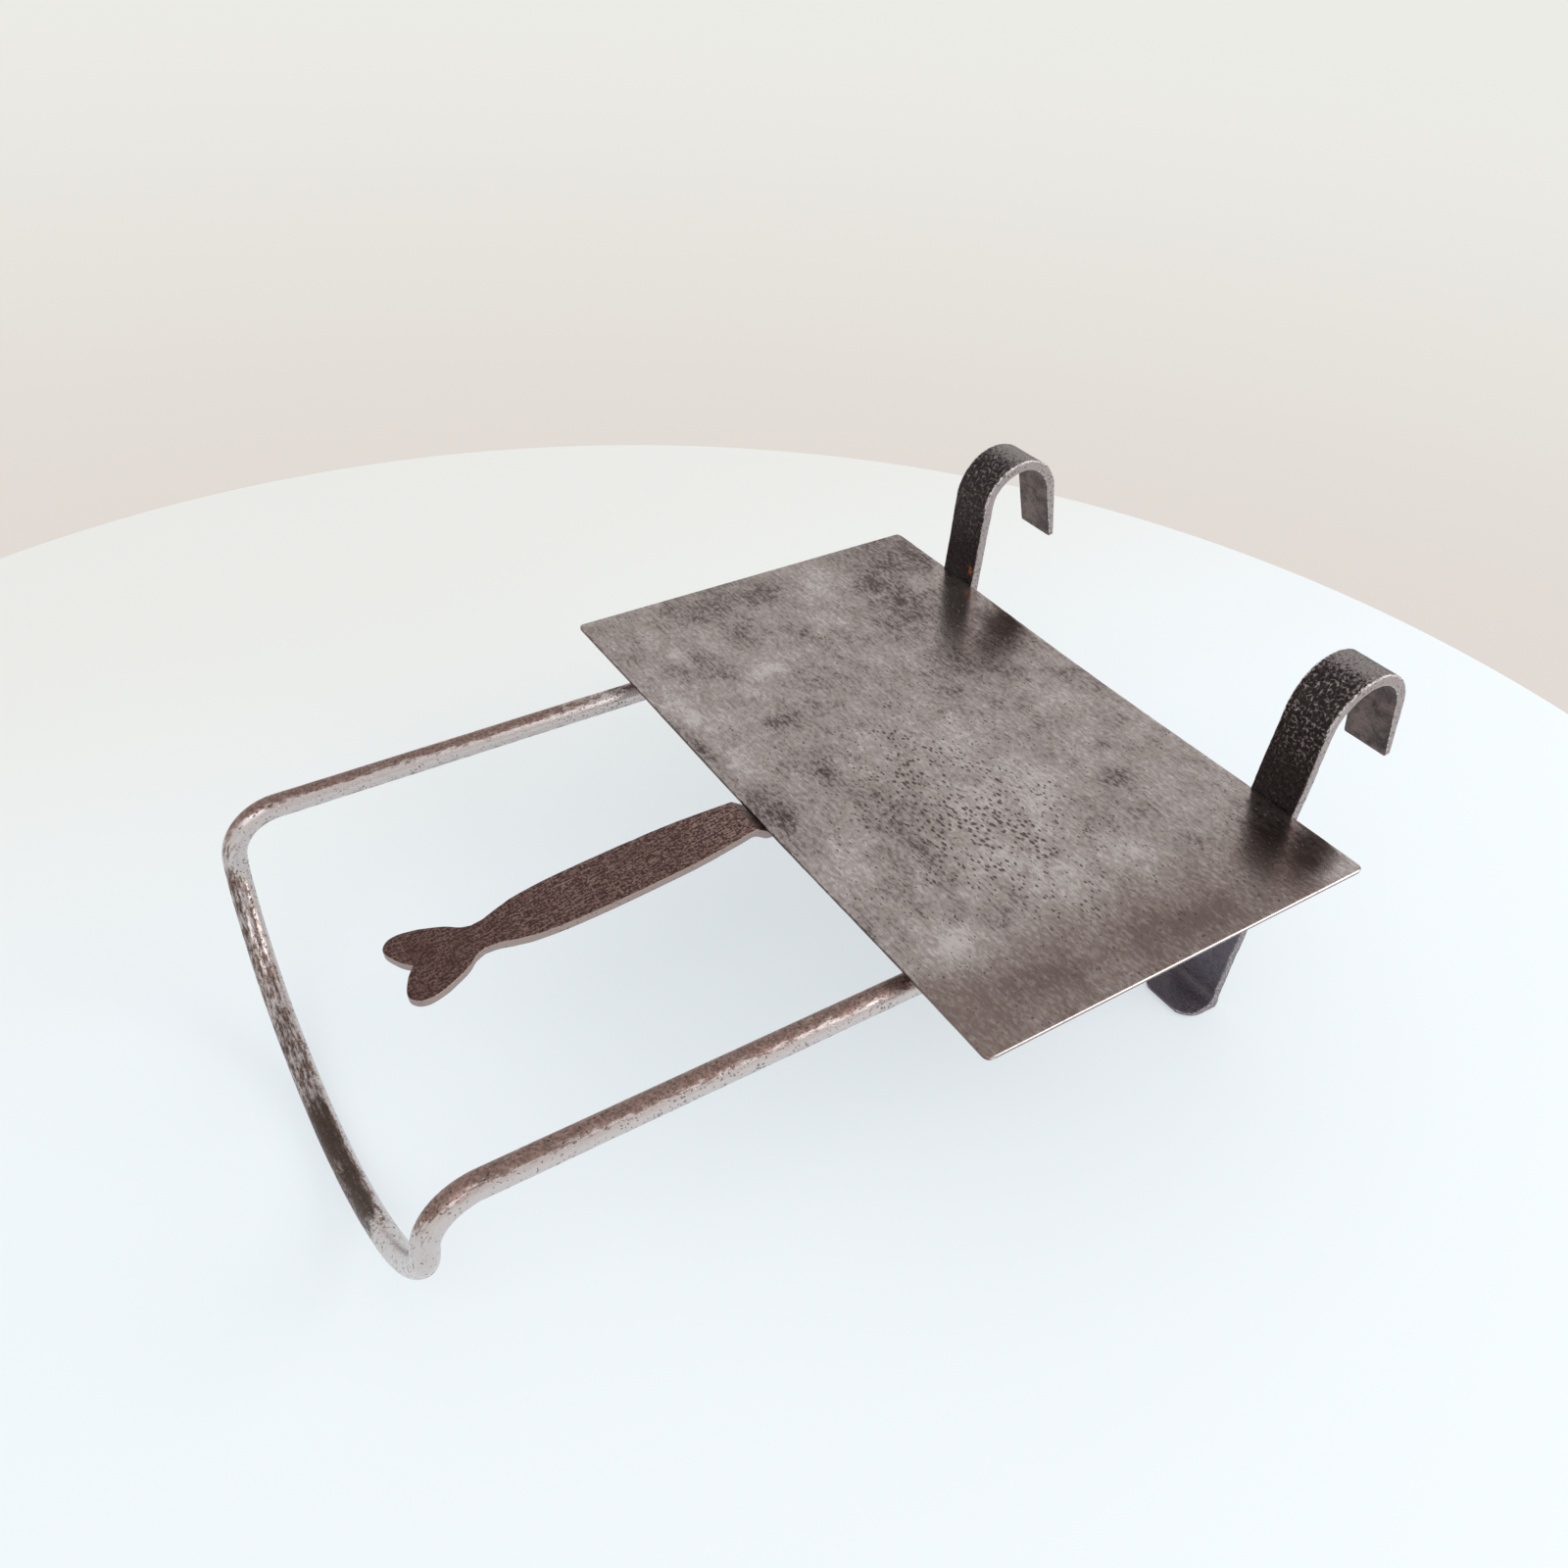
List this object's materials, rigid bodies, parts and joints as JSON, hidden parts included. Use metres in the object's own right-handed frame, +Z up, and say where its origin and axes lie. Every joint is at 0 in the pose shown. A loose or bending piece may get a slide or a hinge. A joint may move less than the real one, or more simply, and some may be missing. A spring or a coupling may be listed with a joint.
{
  "type": "hanging sliding hearth trivet",
  "caption": "Forged hearth stand: two flat hook straps carry a bent round rod bow, on which a rectangular plate slides forward, pulled by a fish-tailed handle",
  "frame": {"origin": "Middle of the overall box, on the floor the stand rests on.", "axes": "+Z up from the floor it stands on, +Y from the bow towards the hooks, +X to the right of someone at the bow facing the hooks."},
  "size_m": [0.3, 0.4186, 0.1644],
  "materials": {
    "plate_steel": "aged grey-brown sheet, finely pitted and streaked, half gloss",
    "guide_steel": "dark aged steel",
    "rivet_steel": "aged steel, peened",
    "handle_steel": "dark red-brown patina, worn bright on the edges",
    "rail_steel": "brown patina above, bright and pitted on the sides",
    "strap_iron": "near-black hammered fire scale, edges worn light"
  },
  "bodies": {
    "frame": {"rail_bow": "rail_steel", "hook_strap_left": "strap_iron", "hook_strap_right": "strap_iron"},
    "slide": {"top_plate": "plate_steel", "guide_bar_front": "guide_steel", "guide_bar_rear": "guide_steel", "guide_rivets": "rivet_steel", "handle": "handle_steel", "handle_rivets": "rivet_steel"}
  },
  "joints": [
    {"name": "plate_slide", "type": "slide", "parent": "frame", "child": "slide", "axis": [0, -0.9994, -0.0352], "range_m": [0, 0.16]}
  ]
}
